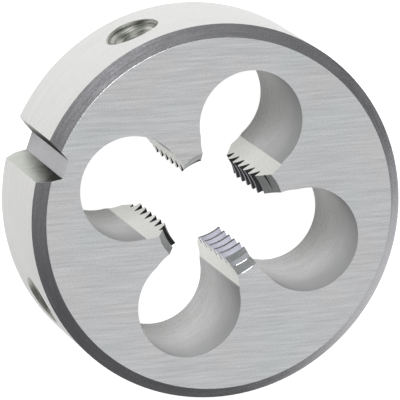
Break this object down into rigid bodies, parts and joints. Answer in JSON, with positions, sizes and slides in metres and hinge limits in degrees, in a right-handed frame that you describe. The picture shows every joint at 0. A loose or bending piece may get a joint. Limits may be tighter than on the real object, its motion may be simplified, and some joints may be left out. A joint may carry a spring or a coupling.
{
  "type": "round threading die",
  "caption": "Round steel threading die with relieved thread lands between clearance holes, bevelled rims, an adjusting notch and conical screw recesses.",
  "frame": {"origin": "centre of the rear face on the thread axis, at the bottom", "axes": "+Z along the thread axis, towards the front face that the screw enters; the adjusting notch faces -Y"},
  "size_m": [0.038, 0.0379, 0.014],
  "materials": {
    "tool_steel": "ground faces and rim, drilled holes, cut thread"
  },
  "bodies": {
    "root": {"threading_die": "tool_steel"}
  },
  "joints": []
}
